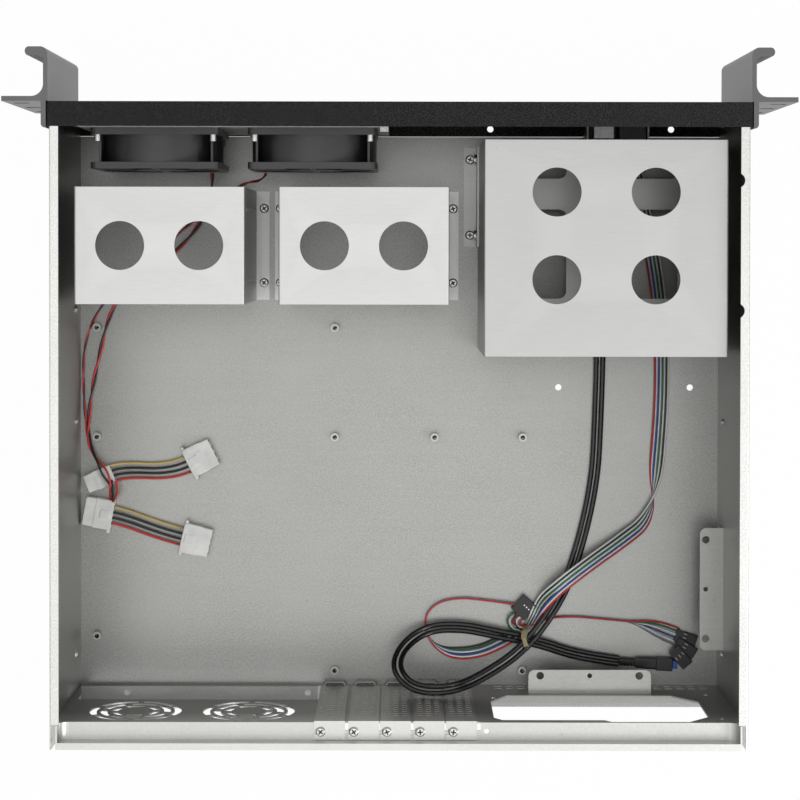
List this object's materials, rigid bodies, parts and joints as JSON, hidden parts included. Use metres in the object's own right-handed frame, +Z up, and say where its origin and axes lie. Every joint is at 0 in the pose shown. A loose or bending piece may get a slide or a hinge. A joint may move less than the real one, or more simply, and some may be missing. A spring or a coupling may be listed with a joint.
{
  "type": "rackmount server case",
  "caption": "Open-topped rackmount computer case of folded sheet steel with a front bezel, rack ears with grips, drive brackets and cage, intake fans, card-slot covers and loose leads.",
  "frame": {"origin": "centre of the whole case's bounding box, at its underside", "axes": "+Z up out of the open top; -Y the front with rack ears and grips, +Y the rear wall; +X the side with the fans and disk brackets, -X the side with the drive cage"},
  "size_m": [0.4826, 0.4272, 0.132],
  "materials": {
    "black_anodised": "matt anodised",
    "black_paint": "fine textured powder coat",
    "black_plastic": "matt moulded",
    "black_screw": "black oxide",
    "board_green": "solder mask",
    "galvanised_steel": "galvanised, fine matt grain",
    "lamp_lens": "tinted clear",
    "plated_steel": "zinc plated, satin",
    "port_steel": "bright plated",
    "satin_steel": "satin",
    "screw_steel": "bright nickel",
    "tie_nylon": "moulded",
    "white_nylon": "moulded",
    "wire_pvc": "soft sheath, mostly black, with red, yellow and white wires"
  },
  "bodies": {
    "chassis": {"bay_cover_1": "black_plastic", "bay_cover_2": "black_plastic", "board_standoffs": "screw_steel", "cable_tie": "tie_nylon", "cage_angle_inner": "plated_steel", "cage_angle_outer": "plated_steel", "cage_screws": "screw_steel", "chassis_tray": "galvanised_steel", "control_board": "board_green", "control_bracket": "plated_steel", "disk_bracket_inner": "satin_steel", "disk_bracket_outer": "satin_steel", "disk_bracket_screws": "screw_steel", "drive_cage": "satin_steel", "drive_cage_shelf": "satin_steel", "fan_frame_1": "black_plastic", "fan_frame_2": "black_plastic", "fan_lead_1": "wire_pvc", "fan_lead_2": "wire_pvc", "fan_plate": "galvanised_steel", "fan_screws": "black_screw", "front_bezel": "black_paint", "handle_left": "black_anodised", "handle_right": "black_anodised", "handle_screws": "black_screw", "header_plug": "black_plastic", "panel_branch": "wire_pvc", "panel_leads": "wire_pvc", "panel_loop": "wire_pvc", "plug_cluster": "black_plastic", "power_plug_1": "white_nylon", "power_plug_2": "white_nylon", "power_plug_3": "white_nylon", "power_plug_4": "white_nylon", "power_wires_1": "wire_pvc", "power_wires_2": "wire_pvc", "psu_bracket_rear": "plated_steel", "psu_bracket_side": "plated_steel", "rear_panel": "galvanised_steel", "side_rivets": "screw_steel", "slot_cover_1": "plated_steel", "slot_cover_2": "plated_steel", "slot_cover_3": "plated_steel", "slot_cover_4": "plated_steel", "slot_cover_5": "plated_steel", "slot_cover_screws": "screw_steel", "status_lamps": "lamp_lens", "switch_block": "black_plastic", "usb_lead_1": "wire_pvc", "usb_lead_2": "wire_pvc", "usb_plug": "black_plastic", "usb_ports": "port_steel"},
    "fan_rotor_1": {"fan_rotor_1": "black_plastic"},
    "fan_rotor_2": {"fan_rotor_2": "black_plastic"},
    "power_button": {"power_button": "black_plastic"},
    "reset_button": {"reset_button": "black_plastic"}
  },
  "joints": [
    {"name": "fan_1_spin", "type": "hinge", "parent": "chassis", "child": "fan_rotor_1", "pos_m": [0.1512, -0.1533, 0.066], "axis": [0, 1, 0], "continuous": true},
    {"name": "fan_2_spin", "type": "hinge", "parent": "chassis", "child": "fan_rotor_2", "pos_m": [0.054, -0.1533, 0.066], "axis": [0, 1, 0], "continuous": true},
    {"name": "power_press", "type": "slide", "parent": "chassis", "child": "power_button", "axis": [0, 1, 0], "range_m": [0, 0.0014], "stiffness_N_per_m": 300, "springref_m": -0.001},
    {"name": "reset_press", "type": "slide", "parent": "chassis", "child": "reset_button", "axis": [0, 1, 0], "range_m": [0, 0.001], "stiffness_N_per_m": 300, "springref_m": -0.001}
  ]
}
